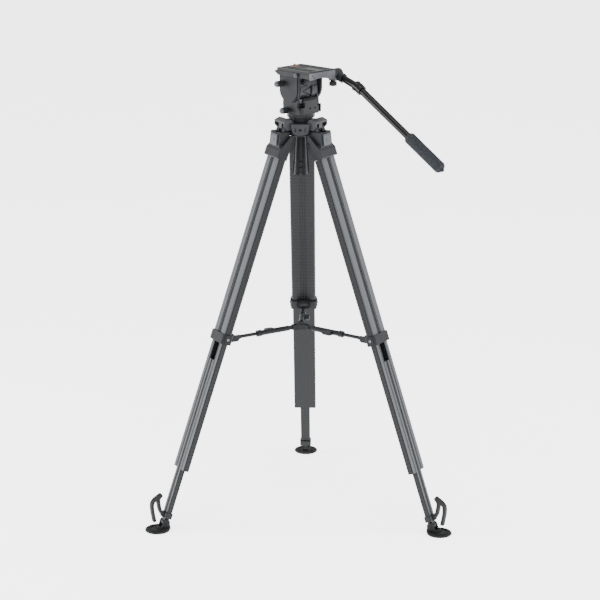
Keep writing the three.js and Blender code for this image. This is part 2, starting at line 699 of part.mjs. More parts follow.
function tiltPlatform() {
  const half = platformWidth / 2;
  const profile = outline([
    [platformRear + 6, platformBottom], [platformFront - 12, platformBottom],
    [platformFront, plateSplit - 4], [platformFront, plateSplit - touchGap],
    [platformRear + 6, plateSplit - touchGap],
  ]);
  const deck = sweepY(profile, -half, half);
  const track = box(platformRear + 5, -25, trackBottom, platformFront + 5, 25, plateSplit + 5);
  const rosette = rodY(15, -half - 4, -half + 0.5, ...barPivot, 20);
  return piece('tilt_platform', joined(cut(deck, track), rosette), 'darkMetal');
}

function rearBracket() {
  const half = platformWidth / 2;
  const shape = new THREE.Shape();
  shape.moveTo(-40, 118.5);
  shape.lineTo(-30, 120);
  shape.quadraticCurveTo(2, 132, 34, 126);
  shape.lineTo(half, 125);
  shape.lineTo(half, 142.5);
  shape.lineTo(-40, 142.5);
  let bracket = toSolid(sweepX(shape, platformRear, platformRear + 5.7, 8));
  for (const [y, z] of [[37, 136], [31, 131]]) {
    bracket = bracket.subtract(toSolid(rodX(1.6, platformRear - 1, platformRear + 3, y, z, 10)));
  }
  return piece('rear_bracket', fromSolid(bracket), 'satinMetal');
}

function cameraPlate() {
  const rail = box(platformRear + 6, -24.6, trackBottom + touchGap, platformFront - 4, 24.6, plateSplit + 2);
  const plateLength = platformFront - 4 - (platformRear + 6);
  const plateMiddle = platformRear + 6 + plateLength / 2;
  const topOutline = roundedOutline(plateLength, platformWidth - 2, 4, plateMiddle, 0);
  const top = raise(topOutline, plateSplit, plateTop, 3);
  const slot = raise(roundedOutline(62, 7.4, 3.6, 8, 0), 130, plateTop + 1, 5);
  const under = raise(roundedOutline(70, 20, 9, 8, 0), 130, plateTop - 3.4, 5);
  return piece('camera_plate', cut(joined(rail, top), slot, under), 'darkMetal');
}

function cameraScrew() {
  const profile = [
    [0, plateTop - 9], [8.5, plateTop - 9], [8.5, plateTop - 3.8], [3.2, plateTop - 3.8],
    [3.2, plateTop + 5], [2.4, plateTop + 6.2], [0, plateTop + 6.2],
  ];
  const screw = turned(profile, 20);
  screw.translate(22, 0, 0);
  return piece('camera_screw', screw, 'brass');
}

function knobPiece(name, radius, length, lobes, finish) {
  const body = scallopedKnob(radius, 2.5, length, lobes, radius * 0.12);
  const stem = rodX(radius * 0.5, 0, 4, 0, 0, 16);
  const cap = rodX(radius * 0.7, length - 1, length + 1.6, 0, 0, 20, radius * 0.55);
  return piece(name, joined(body, stem, cap), finish);
}

function barClamp() {
  const disc = rodY(15, -71 - barPlane, -platformWidth / 2 - 4 - touchGap - barPlane, 0, 0, 20);
  const slope = radians(18);
  const socket = rodX(12, 2, 26, 0, 0, 20).rotateY(Math.PI - slope);
  const foot = box(2, -5, -17, 18, 7, -6);
  return piece('bar_clamp', joined(disc, socket, foot), 'moulding');
}

// Upper tube of the bar with its bend collar; both lie in the XZ plane.
const upperTubeEnd = 74;
const bendSlope = radians(18);
const barSlope = radians(31);

function barElbow() {
  const tube = rodX(barTubeRadius, 26.4, upperTubeEnd, 0, 0, 24).rotateY(Math.PI - bendSlope);
  const hoop = rodX(12.5, upperTubeEnd - 6, upperTubeEnd + 10, 0, 0, 24).rotateY(Math.PI - bendSlope);
  const second = rodX(12.5, -10, 14, 0, 0, 24).rotateY(Math.PI - barSlope);
  const [x, z] = bendPoint();
  second.translate(x, 0, z);
  return piece('bar_elbow', joined(tube, hoop, second), 'darkMetal');
}

function bendPoint() {
  const reach = upperTubeEnd + 5;
  return [-reach * Math.cos(bendSlope), -reach * Math.sin(bendSlope)];
}

function barTube() {
  const tube = rodX(barTubeRadius, 14 + touchGap, 14 + barTubeLength, 0, 0, 24);
  return piece('bar_tube', tube.rotateY(Math.PI - barSlope), 'darkMetal');
}

function barGrip() {
  const start = 14 + barTubeLength + touchGap;
  const end = start + gripLength;
  const profile = [
    [0, start], [gripRadius - 3, start], [gripRadius, start + 4], [gripRadius, end - 7],
    [gripRadius - 2.5, end - 2.5], [gripRadius - 6, end], [5, end], [4.4, end + 5], [0, end + 5.6],
  ];
  const grip = turned(profile, 20).rotateY(Math.PI / 2).rotateY(Math.PI - barSlope);
  return piece('bar_grip', grip, 'foam');
}

// Each group named pivot_ stands at a joint and is turned to its axis.
// ---- assembly -----------------------------------------------------------------------------
const tripod = new THREE.Group();
tripod.name = 'video_tripod';
const crown = frameAt('crown', 0, 0, hingeHeight);
crown.add(bowlCasting(), headBase(), tieDownHandle());
tripod.add(crown, spreaderHub());

const pinLean = new THREE.Vector3(-legInset, 0, -ankleDown).applyAxisAngle(new THREE.Vector3(0, 1, 0), -lean);
const ankleHeight = hingeHeight + pinLean.z;

for (const name of legNames) {
  const heading = frameAt(`heading_${name}`, 0, 0, 0);
  heading.rotation.z = radians(legHeadings[name]);
  const hinge = frameAt(`pivot_fold_${name}`, hingeRadius, 0, hingeHeight);
  hinge.rotation.y = -lean;
  const leg = frameAt(`leg_axis_${name}`, -legInset, 0, 0);
  leg.add(legHousing(name), brakeLever(name), angleLatch(name), railPiece(name, 1), railPiece(name, -1));
  leg.add(legCollar(name), middleStage(name), lowerStage(name), footStrap(name));
  leg.add(frameAt(`pivot_brake_${name}`, leverPivot[0], 0, leverPivot[1]));
  leg.add(frameAt(`pivot_latch_${name}`, 19, 0, -47));
  hinge.add(leg);
  const ankle = frameAt(`pivot_pad_${name}`, hingeRadius + pinLean.x, 0, ankleHeight);
  ankle.add(footPad(name, ankleHeight));
  const arm = frameAt(`pivot_arm_${name}`, pinReach, 0, pinLevel);
  arm.rotation.set(0, Math.PI + radians(armRise), 0);
  const flat = frameAt(`arm_axis_${name}`, 0, 0, 0);
  flat.rotation.x = Math.PI;
  const pivotGap = name === 'rear' ? pinGap : openPivotGap;
  flat.add(spreaderRod(name), spreaderSleeve(name, pivotGap));
  const lever = frameAt(`pivot_arm_lever_${name}`, leverStart, 0, 0);
  lever.add(armLever(name));
  flat.add(lever);
  arm.add(flat);
  heading.add(hinge, ankle, arm);
  tripod.add(heading);
}

const head = frameAt('pivot_pan', 0, 0, hingeHeight);
head.rotation.z = radians(headYaw);
head.add(panBody(), sideCover('side_cover_left', 1), sideCover('side_cover_right', -1));
head.add(tiltCore(), tiltPlatform(), rearBracket(), cameraPlate(), cameraScrew());
head.add(frameAt('pivot_tilt', 0, 0, tiltHeight));
head.add(frameAt('pivot_screw', 22, 0, plateTop));

const knobs = [
  ['tilt_lock_knob', 17, coverOuter + touchGap, 109, 90, 8, 22, 6, 'moulding'],
  ['pan_lock_knob', 11, 36 + touchGap, 42.5, 90, 8, 18, 6, 'moulding'],
  ['plate_release_knob', -30, platformWidth / 2 + touchGap, 133, 90, 5.4, 6, 5, 'paleMoulding'],
  ['drag_knob', -26 - touchGap, 18, 114, 180, 8, 9, 8, 'moulding'],
];
for (const [name, x, y, z, heading, radius, length, lobes, finish] of knobs) {
  const seat = frameAt(`pivot_${name}`, x, y, z);
  seat.rotation.z = radians(heading);
  seat.add(knobPiece(name, radius, length, lobes, finish));
  head.add(seat);
}

const bar = frameAt('pivot_bar', barPivot[0], barPlane, barPivot[1]);
const bend = frameAt('bar_bend', bendPoint()[0], 0, bendPoint()[1]);
bend.add(barTube(), barGrip());
bar.add(barClamp(), barElbow(), bend);
const clampSeat = frameAt('pivot_clamp_knob', 10, 1, -17 - touchGap);
clampSeat.rotation.y = Math.PI / 2;
clampSeat.add(knobPiece('bar_clamp_knob', 11, 11, 4, 'rubber'));
bar.add(clampSeat);
head.add(bar);
tripod.add(head);

// The origin is moved under the middle of the whole part, on the floor.
tripod.updateMatrixWorld(true);
const bounds = new THREE.Box3().setFromObject(tripod, true);
const middle = bounds.getCenter(new THREE.Vector3());
const shifted = new THREE.Group();
shifted.name = 'video_tripod_on_floor';
tripod.position.set(-middle.x, -middle.y, -bounds.min.z);
shifted.add(tripod);

export default shifted;
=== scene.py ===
"""Three-leg video tripod with a fluid head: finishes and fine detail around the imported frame."""
import bmesh
import bpy
import json
import logging
import math
from dataclasses import dataclass
from enum import Enum
from typing import Any, Callable, Iterable, Sequence
from mathutils import Matrix, Vector


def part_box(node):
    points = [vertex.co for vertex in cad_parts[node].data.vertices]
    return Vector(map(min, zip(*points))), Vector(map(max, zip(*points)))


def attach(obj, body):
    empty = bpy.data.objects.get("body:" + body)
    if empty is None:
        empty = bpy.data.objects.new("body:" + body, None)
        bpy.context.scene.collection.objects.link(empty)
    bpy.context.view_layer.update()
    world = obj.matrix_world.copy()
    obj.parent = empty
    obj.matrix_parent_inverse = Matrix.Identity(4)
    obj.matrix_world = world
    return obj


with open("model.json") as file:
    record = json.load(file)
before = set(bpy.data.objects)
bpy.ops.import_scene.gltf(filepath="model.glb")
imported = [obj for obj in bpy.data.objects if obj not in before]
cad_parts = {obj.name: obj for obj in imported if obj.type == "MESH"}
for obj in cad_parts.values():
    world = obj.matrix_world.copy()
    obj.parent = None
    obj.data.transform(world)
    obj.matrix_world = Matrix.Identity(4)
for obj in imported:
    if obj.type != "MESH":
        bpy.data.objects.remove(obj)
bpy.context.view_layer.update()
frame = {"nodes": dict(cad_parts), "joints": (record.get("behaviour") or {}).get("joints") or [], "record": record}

log = logging.getLogger("tripod")
MM = 0.001
LEGS = ("left", "right", "rear")


class Turn(Enum):
    """Which way a lathe profile's axis points in a piece's own frame."""

    ALONG_X = "x"
    ALONG_Y = "y"
    ALONG_Z = "z"


def linear(colour: str) -> tuple[float, float, float, float]:
    """Turns an sRGB hex colour to linear light.

    Args:
        colour: Six hex digits with a leading hash.
    Returns:
        Red, green, blue and alpha for a shader socket.
    """
    values = [int(colour[i:i + 2], 16) / 255 for i in (1, 3, 5)]
    curve = [v / 12.92 if v <= 0.04045 else ((v + 0.055) / 1.055) ** 2.4 for v in values]
    return (curve[0], curve[1], curve[2], 1.0)


def add_node(tree: bpy.types.NodeTree, kind: str, settings: dict[str, Any] | None = None,
             links: dict[Any, Any] | None = None) -> bpy.types.Node:
    """Adds a shader node with its settings and links.

    Args:
        tree: The node tree it goes in.
        kind: The node's type name without the ShaderNode prefix.
        settings: Attributes, or input values where the key is an input's name or place.
        links: Output sockets by the name or place of the input they feed.
    Returns:
        The new node.
    """
    node = tree.nodes.new(f"ShaderNode{kind}")
    for key, value in (settings or {}).items():
        if isinstance(key, str) and hasattr(node, key):
            setattr(node, key, value)
        else:
            node.inputs[key].default_value = value
    for key, output in (links or {}).items():
        tree.links.new(output, node.inputs[key])
    return node


def ramp(tree: bpy.types.NodeTree, factor: Any, stops: Sequence[tuple[float, str]]) -> Any:
    """Colours a factor through a ramp.

    Args:
        tree: The node tree.
        factor: The socket that drives the ramp.
        stops: Places from 0 to 1 with their hex colours.
    Returns:
        The ramp's colour socket.
    """
    node = add_node(tree, "ValToRGB", links={"Fac": factor})
    elements = node.color_ramp.elements
    while len(elements) < len(stops):
        elements.new(0.5)
    for element, (place, colour) in zip(elements, stops):
        element.position = place
        element.color = linear(colour)
    return node.outputs["Color"]


@dataclass(frozen=True)
class Finish:
    """A surface: what it is made of and how it was made.

    Fine grain is noise of the given size in millimetres; slow mottle shifts its tone a little.
    """

    name: str
    base: str
    light: str
    roughness: float
    metallic: float = 0.0
    ior: float = 1.5
    grain_mm: float = 0.6
    grain_depth: float = 0.1
    specular: float = 0.25
    mottle_mm: float = 40.0

    def start(self) -> tuple[bpy.types.Material, bpy.types.NodeTree, Any, Any]:
        """Makes the material with its shader.

        Returns:
            The material, its node tree, its shader and object coordinates in millimetres.
        """
        material = bpy.data.materials.new(self.name)
        material.use_nodes = True
        tree = material.node_tree
        tree.nodes.clear()
        output = add_node(tree, "OutputMaterial")
        shader = add_node(tree, "BsdfPrincipled", {
            "Metallic": self.metallic, "IOR": self.ior, "Specular IOR Level": self.specular,
        })
        tree.links.new(shader.outputs["BSDF"], output.inputs["Surface"])
        place = add_node(tree, "TexCoord")
        scaled = add_node(tree, "VectorMath", {"operation": "SCALE", "Scale": 1000.0},
                          {0: place.outputs["Object"]})
        return material, tree, shader, scaled.outputs["Vector"]

    def noise(self, tree: bpy.types.NodeTree, where: Any, size_mm: float, detail: float = 3.0) -> Any:
        """Returns the value socket of noise whose features are size_mm across."""
        node = add_node(tree, "TexNoise", {"Scale": 1.0 / size_mm, "Detail": detail}, {"Vector": where})
        return node.outputs["Fac"]

    def build(self) -> bpy.types.Material:
        """Builds the plain grained finish.

        Returns:
            The material.
        """
        material, tree, shader, where = self.start()
        mottle = self.noise(tree, where, self.mottle_mm)
        colour = ramp(tree, mottle, ((0.3, self.base), (0.7, self.light)))
        grain = self.noise(tree, where, self.grain_mm, 2.0)
        rough = add_node(tree, "MapRange", {"To Min": max(self.roughness - 0.08, 0.02),
                                            "To Max": min(self.roughness + 0.1, 1.0)}, {"Value": grain})
        bump = add_node(tree, "Bump", {"Strength": self.grain_depth, "Distance": 0.0004}, {"Height": grain})
        tree.links.new(colour, shader.inputs["Base Color"])
        tree.links.new(rough.outputs["Result"], shader.inputs["Roughness"])
        tree.links.new(bump.outputs["Normal"], shader.inputs["Normal"])
        return material


@dataclass(frozen=True)
class WovenCarbon(Finish):
    """Carbon fibre with a painted highlight: the leg's outer face is painted paler, either side of the dark ribbed
    strip, standing in for the side light it catches.

    A real tow is about 2 mm wide; it is drawn at 5 mm so it shows.
    """

    tow_mm: float = 5.0
    # Paler grey painted on the outer face as a highlight.
    outer_face_highlight: str = "#505255"
    groove_half_mm: float = 5.4

    def build_along(self, place: "Place") -> bpy.types.Material:
        """Builds the weave along a leg, with the painted highlight on its outer face.

        Args:
            place: The leg's frame, X outwards and Z along it.
        Returns:
            The material.
        """
        material, tree, shader, where = self.start()
        turn = place.basis().inverted().to_euler("XYZ")
        local = add_node(tree, "VectorRotate", {"rotation_type": "EULER_XYZ"}, {"Vector": where})
        local.inputs["Rotation"].default_value = turn
        parts = add_node(tree, "SeparateXYZ", links={0: local.outputs[0]})
        waves = []
        for axis in ("X", "Y", "Z"):
            phase = add_node(tree, "Math", {"operation": "MULTIPLY", 1: math.pi / self.tow_mm},
                             {0: parts.outputs[axis]})
            waves.append(add_node(tree, "Math", {"operation": "SINE"}, {0: phase.outputs[0]}).outputs[0])
        face = add_node(tree, "Math", {"operation": "ADD"}, {0: waves[0], 1: waves[1]})
        check = add_node(tree, "Math", {"operation": "MULTIPLY"}, {0: face.outputs[0], 1: waves[2]})
        share = add_node(tree, "MapRange", {"From Min": -1.2, "From Max": 1.2}, {"Value": check.outputs[0]})
        colour = ramp(tree, share.outputs["Result"], ((0.3, self.base), (0.7, self.light)))
        # Painted highlight: faces turned outwards along the leg's X are mixed toward a paler grey, except on the
        # ribbed strip.
        facing = add_node(tree, "VectorMath", {"operation": "DOT_PRODUCT", 1: place.x},
                          {0: add_node(tree, "TexCoord").outputs["Normal"]})
        painted_highlight = add_node(tree, "MapRange", {"From Min": 0.86, "From Max": 0.97, "To Max": 0.75},
                          {"Value": facing.outputs["Value"]})
        centre = place.origin.dot(place.y) / MM
        aside = add_node(tree, "Math", {"operation": "SUBTRACT", 1: centre}, {0: parts.outputs["Y"]})
        aside = add_node(tree, "Math", {"operation": "ABSOLUTE"}, {0: aside.outputs[0]})
        beyond = add_node(tree, "Math", {"operation": "GREATER_THAN", 1: self.groove_half_mm},
                          {0: aside.outputs[0]})
        highlight_share = add_node(tree, "Math", {"operation": "MULTIPLY"},
                              {0: painted_highlight.outputs["Result"], 1: beyond.outputs[0]})
        mix = add_node(tree, "Mix", {"data_type": "RGBA"}, {0: highlight_share.outputs[0], 6: colour})
        mix.inputs[7].default_value = linear(self.outer_face_highlight)
        colour = mix.outputs[2]
        bump = add_node(tree, "Bump", {"Strength": self.grain_depth, "Distance": 0.0003},
                        {"Height": share.outputs["Result"]})
        rough = add_node(tree, "MapRange", {"To Min": self.roughness, "To Max": self.roughness + 0.12},
                         {"Value": self.noise(tree, where, self.grain_mm)})
        tree.links.new(colour, shader.inputs["Base Color"])
        tree.links.new(rough.outputs["Result"], shader.inputs["Roughness"])
        tree.links.new(bump.outputs["Normal"], shader.inputs["Normal"])
        return material


# Cast magnesium, painted: dark, finely pebbled, bright only where its rounded edges catch the light.
CAST_MAGNESIUM = Finish("cast_magnesium_painted", "#232427", "#2f3134", 0.45, specular=0.16)
# Glass-filled nylon, moulded: near-black and satin with an even fine grain.
MOULDED_NYLON = Finish("glass_filled_nylon_moulded", "#151618", "#1d1f22", 0.48,
                       grain_depth=0.16, specular=0.14)
# Polyacetal, moulded in mid grey: satin.
MOULDED_ACETAL = Finish("polyacetal_moulded", "#303236", "#3e4145", 0.4, grain_depth=0.06)
# Aluminium, satin anodised grey: soft broad highlights.
ANODISED_ALUMINIUM = Finish("aluminium_satin_anodised", "#34363a", "#45484b", 0.42, 0.4, grain_depth=0.04)
# Aluminium, powder coated black: dark with a tight orange-peel and a soft gloss.
COATED_ALUMINIUM = Finish("aluminium_powder_coated", "#131416", "#1b1c1f", 0.38,
                          specular=0.16)
# Natural rubber, moulded: nearly black and dull.
MOULDED_RUBBER = Finish("natural_rubber_moulded", "#131415", "#1c1d1f", 0.65, grain_mm=1.2, grain_depth=0.3,
                        specular=0.15)
# EVA foam, skived: speckled charcoal with open pores, drawn at 1.6 mm so they show.
SKIVED_FOAM = Finish("eva_foam_skived", "#0e0f10", "#34373b", 0.9, grain_mm=1.6, grain_depth=0.7,
                     mottle_mm=1.8, specular=0.1)
# Brass, turned: warm and softly bright.
TURNED_BRASS = Finish("brass_turned", "#6f5f55", "#83726a", 0.4, 0.8, grain_depth=0.03)
# Cork and rubber composition, pressed: pinkish brown with coarse flecks.
PRESSED_CORK = Finish("cork_rubber_pressed", "#5a4643", "#7a625c", 0.85, grain_mm=1.5, grain_depth=0.4,
                      mottle_mm=3.0)
# Steel, zinc plated: small fasteners.
ZINC_STEEL = Finish("steel_zinc_plated", "#5f6164", "#76787b", 0.32, 0.9, grain_depth=0.03)
# Aluminium, black anodised and polished: the pan bar's glossy tube, one sharp highlight down it.
POLISHED_BLACK = Finish("aluminium_black_anodised_polished", "#050506", "#090a0b", 0.2, grain_depth=0.02,
                        specular=0.14)
# Carbon fibre, woven: a faint weave with a soft gloss, and a painted highlight that makes the outer face paler.
WOVEN_CARBON = WovenCarbon("carbon_fibre_woven", "#141517", "#1c1e20", 0.34, grain_depth=0.05,
                           specular=0.16)


@dataclass(frozen=True)
class Place:
    """A piece's own frame in the row frame, with its axes as columns."""

    origin: Vector
    x: Vector
    y: Vector
    z: Vector

    def matrix(self) -> Matrix:
        """Returns the frame as a 4 by 4 matrix."""
        turn = Matrix((self.x, self.y, self.z)).transposed().to_4x4()
        return Matrix.Translation(self.origin) @ turn

    def basis(self) -> Matrix:
        """Returns the turn alone."""
        return Matrix((self.x, self.y, self.z)).transposed()


JOINTS = {joint["name"]: joint for joint in frame["joints"]}


def leg_place(name: str) -> Place:
    """Makes a leg's frame: X outwards, Z up along the leg, at the spread hinge.

    Args:
        name: Left, right or rear.
    Returns:
        The frame.
    """
    hinge = JOINTS[f"leg_spread_{name}"]
    y = -Vector(hinge["axis"]).normalized()
    z = -Vector(JOINTS[f"middle_slide_{name}"]["axis"]).normalized()
    return Place(Vector(hinge["pos_m"]), y.cross(z).normalized(), y, z)


def crown_place() -> Place:
    """Makes the tripod's upright frame, on its axis at the leg hinges' height."""
    axis = Vector(JOINTS["pan"]["pos_m"])
    hinge = Vector(JOINTS["leg_spread_rear"]["pos_m"])
    return Place(Vector((axis.x, axis.y, hinge.z)), Vector((1, 0, 0)), Vector((0, 1, 0)), Vector((0, 0, 1)))


def head_place() -> Place:
    """Makes the head's frame: X forwards, Y to its left, on the pan axis at the leg hinges' height."""
    x = Vector(JOINTS["plate_slide"]["axis"]).normalized()
    return Place(crown_place().origin, x, Vector((0, 0, 1)).cross(x), Vector((0, 0, 1)))


def make_piece(name: str, build: Callable[[bmesh.types.BMesh], None], place: Place, body: str,
               material: bpy.types.Material, bevel_mm: float = 0.0) -> bpy.types.Object:
    """Makes one mesh piece that rides on a body.

    Args:
        name: The piece.
        build: Draws it in millimetres in its own frame.
        place: Where that frame is.
        body: The body it rides on.
        material: Its finish.
        bevel_mm: Width of its softened edges.
    Returns:
        The object.
    """
    shape = bmesh.new()
    build(shape)
    bmesh.ops.scale(shape, vec=(MM, MM, MM), verts=shape.verts)
    bmesh.ops.transform(shape, matrix=place.matrix(), verts=shape.verts)
    bmesh.ops.recalc_face_normals(shape, faces=shape.faces)
    mesh = bpy.data.meshes.new(name)
    shape.to_mesh(mesh)
    shape.free()
    for polygon in mesh.polygons:
        polygon.use_smooth = True
    mesh.set_sharp_from_angle(angle=math.radians(35))
    mesh.materials.append(material)
    piece = bpy.data.objects.new(name, mesh)
    bpy.context.scene.collection.objects.link(piece)
    if bevel_mm:
        soften(piece, bevel_mm)
    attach(piece, body)
    log.info("%s on %s", name, body)
    return piece


def soften(piece: bpy.types.Object, width_mm: float) -> None:
    """Rounds a piece's sharp edges by a modifier.

    Args:
        piece: The object.
        width_mm: How wide each rounded edge is.
    """
    bevel = piece.modifiers.new("softened_edges", "BEVEL")
    bevel.width = width_mm * MM
    bevel.segments = 2
    bevel.limit_method = "ANGLE"
    bevel.angle_limit = math.radians(40)
    bevel.harden_normals = True


def lathe(shape: bmesh.types.BMesh, profile: Iterable[tuple[float, float]], turn: Turn,
          centre: tuple[float, float, float] = (0, 0, 0), sides: int = 32) -> None:
    """Turns a closed profile of radius and height about an axis.

    Args:
        shape: The mesh it is added to.
        profile: Radius and height pairs, starting and ending on the axis or closing on themselves.
        turn: Which way its axis points.
        centre: The axis's zero point.
        sides: Number of facets round it.
    """
    points = list(profile)
    closed = points[0][0] > 1e-6
    rings = []
    for radius, height in points:
        count = 1 if radius < 1e-6 else sides
        ring = []
        for i in range(count):
            angle = 2 * math.pi * i / sides
            a, b = radius * math.cos(angle), radius * math.sin(angle)
            spot = {Turn.ALONG_X: (height, a, b), Turn.ALONG_Y: (b, height, a),
                    Turn.ALONG_Z: (a, b, height)}[turn]
            ring.append(shape.verts.new([s + c for s, c in zip(spot, centre)]))
        rings.append(ring)
    pairs = list(zip(rings, rings[1:]))
    if closed:
        pairs.append((rings[-1], rings[0]))
    for low, high in pairs:
        for i in range(sides):
            j = (i + 1) % sides
            corners = [low[i % len(low)], low[j % len(low)], high[j % len(high)], high[i % len(high)]]
            unique = list(dict.fromkeys(corners))
            if len(unique) > 2:
                shape.faces.new(unique)


def cap_screw(shape: bmesh.types.BMesh, radius: float, turn: Turn,
              centre: tuple[float, float, float], rise: float = 1.6) -> None:
    """Adds a socket-head screw: a chamfered head with a round socket sunk in it.

    Args:
        shape: The mesh it is added to.
        radius: The head's radius.
        turn: Which way its axis points.
        centre: The middle of the face it sits on.
        rise: How far it stands out, below zero to point the other way.
    """
    sign = 1 if rise > 0 else -1
    r, deep = radius, abs(rise)
    lathe(shape, ((0, 0), (r, 0), (r, sign * (deep - 0.35)), (r - 0.4, sign * deep),
                  (r * 0.52, sign * deep), (r * 0.46, sign * deep * 0.35), (0, sign * deep * 0.35)),
          turn, centre, 20)


def prism(shape: bmesh.types.BMesh, flat: Sequence[Vector], step: Vector) -> None:
    """Adds a closed prism.

    Args:
        shape: The mesh it is added to.
        flat: The corners of one end, in order.
        step: From that end to the other.
    """
    near = [shape.verts.new(corner) for corner in flat]
    far = [shape.verts.new(corner + step) for corner in flat]
    shape.faces.new(near)
    shape.faces.new(far[::-1])
    for i in range(len(flat)):
        j = (i + 1) % len(flat)
        shape.faces.new((near[i], far[i], far[j], near[j]))


def main() -> None:
    """Builds the scene."""
    logging.basicConfig(level=logging.INFO, format="%(message)s")
    Workshop().dress()
    LegDetail().build_all()
    HeadDetail(head_place()).build()
    Studio().build()


@dataclass
class Workshop:
    """Gives each CAD node its finish and softens its edges."""

    edge_mm: float = 0.5

    def dress(self) -> None:
        """Assigns every carried-over node's material."""
        slots = {part["node"]: part["material_slot"] for part in frame["record"]["subparts"]}
        plain = {
            "casting": CAST_MAGNESIUM, "moulding": MOULDED_NYLON, "pale_moulding": MOULDED_ACETAL,
            "satin_metal": ANODISED_ALUMINIUM, "dark_metal": COATED_ALUMINIUM, "rubber": MOULDED_RUBBER,
            "foam": SKIVED_FOAM, "brass": TURNED_BRASS,
        }
        built = {slot: finish.build() for slot, finish in plain.items()}
        polished = POLISHED_BLACK.build()
        woven = {leg: WOVEN_CARBON.build_along(leg_place(leg)) for leg in LEGS}
        for name, node in frame["nodes"].items():
            slot = slots[name]
            material = woven[name.rsplit("_", 1)[1]] if slot == "carbon" else built[slot]
            if name in ("bar_tube", "bar_elbow"):
                material = polished
            if not node.material_slots:
                node.data.materials.append(material)
            for holder in node.material_slots:
                holder.material = material
            soften(node, 0.25 if "rail" in name or "stage" in name else self.edge_mm)
            log.info("%s in %s", name, material.name)


@dataclass
class LegDetail:
    """Fasteners and ribs on the three legs."""

    collar_down: float = 538.0
    tab_face: float = 35.6
    screw_radius: float = 3.4
    leg_inset: float = 6.7
    mark_half: float = 5.0
    pad_offset: float = 20.0

    def build_all(self) -> None:
        """Builds the detail of every leg."""
        zinc = ZINC_STEEL.build()
        rubber = MOULDED_RUBBER.build()
        acetal = MOULDED_ACETAL.build()
        for leg in LEGS:
            self.collar_screws(leg, zinc)
            self.latch_mark(leg, acetal)
            self.pad_ribs(leg, rubber)

    def collar_screws(self, leg: str, material: bpy.types.Material) -> None:
        """Adds the screw through each collar tab.

        Args:
            leg: Left, right or rear.
            material: The screws' finish.
        """
        place = leg_place(leg)
        for hand, side in ((-1, "near"), (1, "far")):
            def draw(shape: bmesh.types.BMesh, hand: int = hand) -> None:
                """Draws one screw."""
                spot = (-self.leg_inset, hand * self.tab_face, -self.collar_down)
                cap_screw(shape, self.screw_radius, Turn.ALONG_Y, spot, hand * 1.6)
            make_piece(f"collar_screw_{side}_{leg}", draw, place, f"leg_{leg}", material)

    def latch_mark(self, leg: str, material: bpy.types.Material) -> None:
        """Adds the raised triangle on the angle latch.

        Args:
            leg: Left, right or rear.
            material: The triangle's finish.
        """
        def draw(shape: bmesh.types.BMesh) -> None:
            """Draws the triangle on the sloping pad, point down."""
            half = self.mark_half
            point, base = Vector((20.6, 0, -43.0)), Vector((24.2, 0, -31.0))
            out = (base - point).cross(Vector((0, -1, 0))).normalized()
            out = out if out.x > 0 else -out
            flat = [point, base - Vector((0, half, 0)), base + Vector((0, half, 0))]
            prism(shape, flat, out)
        place = leg_place(leg)
        centre = Place(place.origin - place.x * self.leg_inset * MM, place.x, place.y, place.z)
        make_piece(f"latch_mark_{leg}", draw, centre, f"latch_{leg}", material)

    def pad_ribs(self, leg: str, material: bpy.types.Material) -> None:
        """Adds raised rings on the foot pad's top.

        Args:
            leg: Left, right or rear.
            material: The rings' finish.
        """
        pin = Vector(JOINTS[f"foot_tilt_{leg}"]["pos_m"])
        axis = crown_place().origin
        out = Vector((pin.x - axis.x, pin.y - axis.y, 0)).normalized()
        middle = Vector((pin.x, pin.y, 0)) + out * self.pad_offset * MM
        place = Place(middle, out, Vector((0, 0, 1)).cross(out), Vector((0, 0, 1)))

        def draw(shape: bmesh.types.BMesh) -> None:
            """Draws three rings."""
            for radius in (18.0, 22.5, 27.0):
                lathe(shape, ((radius - 0.9, 4.8), (radius + 0.9, 4.8), (radius + 0.5, 6.6),
                              (radius - 0.5, 6.6)), Turn.ALONG_Z, sides=48)
        make_piece(f"pad_ribs_{leg}", draw, place, f"pad_{leg}", material)


